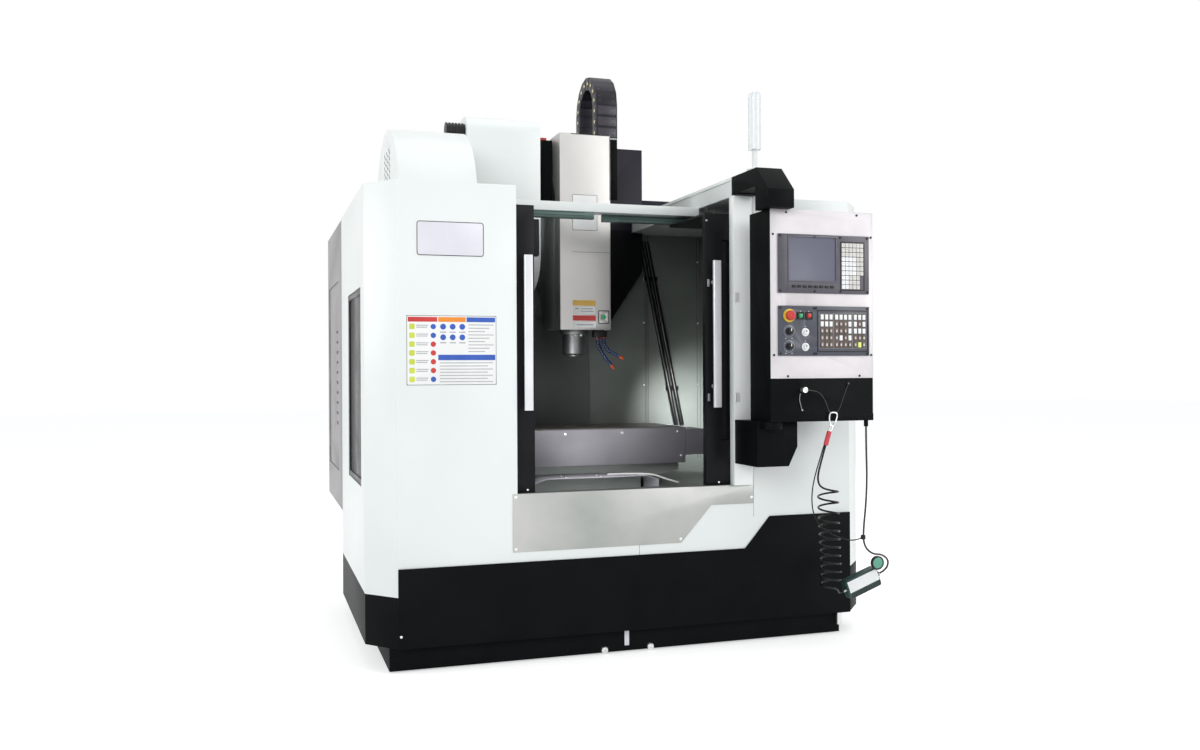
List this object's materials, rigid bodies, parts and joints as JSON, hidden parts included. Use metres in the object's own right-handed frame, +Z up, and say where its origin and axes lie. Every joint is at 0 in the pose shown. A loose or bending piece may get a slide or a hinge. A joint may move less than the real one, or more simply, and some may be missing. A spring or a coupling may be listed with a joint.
{
  "type": "cnc machining center",
  "caption": "Vertical machining centre with sliding doors, tool magazine, drag chain and a swivelling control pod with a hanging hand wheel.",
  "frame": {"origin": "centre of the footprint on the floor, midway between the side panels and between the pod arm's nose and the cabinet's back", "axes": "+X to the operator's right, +Y towards the back, +Z up"},
  "size_m": [2.22, 2.4, 2.656],
  "materials": {
    "bed": "painted casting",
    "levelling_feet": "ground steel",
    "column": "painted casting",
    "way_rails": "ground steel",
    "z_drive": "ground steel",
    "chip_tray": "black textured powder coat",
    "coolant_tank": "black textured powder coat",
    "left_front_panel": "greenish white powder coat",
    "right_front_panel": "greenish white powder coat",
    "door_post": "greenish white powder coat",
    "side_panels": "greenish white powder coat",
    "front_skirt": "black textured powder coat",
    "side_skirts": "black textured powder coat",
    "apron": "brushed stainless",
    "top_beam": "greenish white powder coat",
    "roof_panels": "greenish white powder coat",
    "splash_walls": "grey-green paint",
    "column_shield": "black textured powder coat",
    "changer_box": "greenish white powder coat",
    "magazine_hood": "greenish white powder coat",
    "electrical_cabinet": "dark grey paint",
    "lubricator": "black paint",
    "wall_hose": "black",
    "pod_arm": "black textured powder coat",
    "signal_lamp": "clear white plastic",
    "saddle": "painted casting",
    "y_cover": "brushed stainless",
    "table": "ground iron, oiled",
    "table_guard": "brushed stainless",
    "head_casting": "painted casting",
    "head_cover": "brushed stainless",
    "spindle_motor": "black paint",
    "spindle_housing": "ground steel",
    "coolant_nozzles": "blue plastic",
    "drag_chain": "black nylon",
    "spindle": "ground steel",
    "release_button": "brushed stainless",
    "left_door": "black powder coat",
    "right_door": "black powder coat",
    "side_window": "black powder coat",
    "cabinet_door": "dark grey paint",
    "carousel": "grey paint with plastic pots",
    "arm_shaft": "ground steel",
    "changer_arm": "ground steel",
    "control_pod": "black textured powder coat",
    "pod_face": "brushed stainless",
    "display_unit": "dark grey film and keys",
    "operator_unit": "dark grey film and keys",
    "pendant": "dark plastic",
    "curly_hose": "black",
    "pendant_cable": "black",
    "tie_cord": "black",
    "estop_button": "red plastic",
    "start_button": "green plastic",
    "stop_button": "red plastic",
    "feed_knob": "black plastic",
    "spindle_knob": "black plastic",
    "program_key": "plated",
    "lock_key": "plated",
    "pendant_wheel": "black plastic"
  },
  "bodies": {
    "frame": {"bed": "bed", "levelling_feet": "levelling_feet", "column": "column", "way_rails": "way_rails", "z_drive": "z_drive", "chip_tray": "chip_tray", "coolant_tank": "coolant_tank", "left_front_panel": "left_front_panel", "right_front_panel": "right_front_panel", "door_post": "door_post", "side_panels": "side_panels", "front_skirt": "front_skirt", "side_skirts": "side_skirts", "apron": "apron", "top_beam": "top_beam", "roof_panels": "roof_panels", "splash_walls": "splash_walls", "column_shield": "column_shield", "changer_box": "changer_box", "magazine_hood": "magazine_hood", "electrical_cabinet": "electrical_cabinet", "lubricator": "lubricator", "wall_hose": "wall_hose", "pod_arm": "pod_arm", "signal_lamp": "signal_lamp"},
    "saddle": {"saddle": "saddle", "y_cover": "y_cover"},
    "table": {"table": "table", "table_guard": "table_guard"},
    "head": {"head_casting": "head_casting", "head_cover": "head_cover", "spindle_motor": "spindle_motor", "spindle_housing": "spindle_housing", "coolant_nozzles": "coolant_nozzles", "drag_chain": "drag_chain"},
    "spindle": {"spindle": "spindle"},
    "release_button": {"release_button": "release_button"},
    "left_door": {"left_door": "left_door"},
    "right_door": {"right_door": "right_door"},
    "side_window": {"side_window": "side_window"},
    "cabinet_door": {"cabinet_door": "cabinet_door"},
    "carousel": {"carousel": "carousel"},
    "arm_shaft": {"arm_shaft": "arm_shaft"},
    "changer_arm": {"changer_arm": "changer_arm"},
    "pod": {"control_pod": "control_pod", "pod_face": "pod_face", "display_unit": "display_unit", "operator_unit": "operator_unit", "pendant": "pendant", "curly_hose": "curly_hose", "pendant_cable": "pendant_cable", "tie_cord": "tie_cord"},
    "estop_button": {"estop_button": "estop_button"},
    "start_button": {"start_button": "start_button"},
    "stop_button": {"stop_button": "stop_button"},
    "feed_knob": {"feed_knob": "feed_knob"},
    "spindle_knob": {"spindle_knob": "spindle_knob"},
    "program_key": {"program_key": "program_key"},
    "lock_key": {"lock_key": "lock_key"},
    "pendant_wheel": {"pendant_wheel": "pendant_wheel"}
  },
  "joints": [
    {"name": "y_feed", "type": "slide", "parent": "frame", "child": "saddle", "axis": [0, 1, 0], "range_m": [-0.2, 0.2]},
    {"name": "x_feed", "type": "slide", "parent": "saddle", "child": "table", "axis": [1, 0, 0], "range_m": [-0.355, 0.295]},
    {"name": "z_feed", "type": "slide", "parent": "frame", "child": "head", "axis": [0, 0, 1], "range_m": [-0.24, 0.25], "deforming": ["drag_chain"]},
    {"name": "spindle_spin", "type": "hinge", "parent": "head", "child": "spindle", "pos_m": [-0.02, 0, 1.3], "axis": [0, 0, 1], "continuous": true},
    {"name": "release_press", "type": "slide", "parent": "head", "child": "release_button", "axis": [0, 1, 0], "range_m": [0, 0.004], "stiffness_N_per_m": 900},
    {"name": "left_door_slide", "type": "slide", "parent": "frame", "child": "left_door", "axis": [1, 0, 0], "range_m": [0, 0.39]},
    {"name": "right_door_slide", "type": "slide", "parent": "frame", "child": "right_door", "axis": [-1, 0, 0], "range_m": [0, 0.36]},
    {"name": "side_window_slide", "type": "slide", "parent": "frame", "child": "side_window", "axis": [0, 1, 0], "range_m": [0, 0.3]},
    {"name": "cabinet_door_hinge", "type": "hinge", "parent": "frame", "child": "cabinet_door", "pos_m": [-1.104, 1.1397, 1.16], "axis": [0, 0, -1], "range_deg": [0, 90]},
    {"name": "carousel_spin", "type": "hinge", "parent": "frame", "child": "carousel", "pos_m": [-0.88, -0.24, 1.83], "axis": [1, 0, 0], "continuous": true},
    {"name": "arm_drop", "type": "slide", "parent": "frame", "child": "arm_shaft", "axis": [0, 0, -1], "range_m": [0, 0.09]},
    {"name": "arm_swing", "type": "hinge", "parent": "arm_shaft", "child": "changer_arm", "pos_m": [-0.3, -0.06, 1.2], "axis": [0, 0, -1], "range_deg": [0, 243]},
    {"name": "pod_swivel", "type": "hinge", "parent": "frame", "child": "pod", "pos_m": [0.488, -1.11, 1.4], "axis": [0, 0, -1], "range_deg": [0, 90]},
    {"name": "estop_press", "type": "slide", "parent": "pod", "child": "estop_button", "axis": [0, 1, 0], "range_m": [0, 0.004], "stiffness_N_per_m": 900},
    {"name": "start_press", "type": "slide", "parent": "pod", "child": "start_button", "axis": [0, 1, 0], "range_m": [0, 0.004], "stiffness_N_per_m": 900},
    {"name": "stop_press", "type": "slide", "parent": "pod", "child": "stop_button", "axis": [0, 1, 0], "range_m": [0, 0.004], "stiffness_N_per_m": 900},
    {"name": "feed_turn", "type": "hinge", "parent": "pod", "child": "feed_knob", "pos_m": [0.5365, -1.18, 1.334], "axis": [0, -1, 0], "range_deg": [-135, 135]},
    {"name": "spindle_turn", "type": "hinge", "parent": "pod", "child": "spindle_knob", "pos_m": [0.5365, -1.18, 1.273], "axis": [0, -1, 0], "range_deg": [-135, 135]},
    {"name": "program_turn", "type": "hinge", "parent": "pod", "child": "program_key", "pos_m": [0.611, -1.18, 1.331], "axis": [0, -1, 0], "range_deg": [0, 90]},
    {"name": "lock_turn", "type": "hinge", "parent": "pod", "child": "lock_key", "pos_m": [0.611, -1.18, 1.271], "axis": [0, -1, 0], "range_deg": [0, 90]},
    {"name": "handwheel_turn", "type": "hinge", "parent": "pod", "child": "pendant_wheel", "pos_m": [0.86805, -1.08, 0.27137], "axis": [0, 1, 0], "continuous": true}
  ]
}
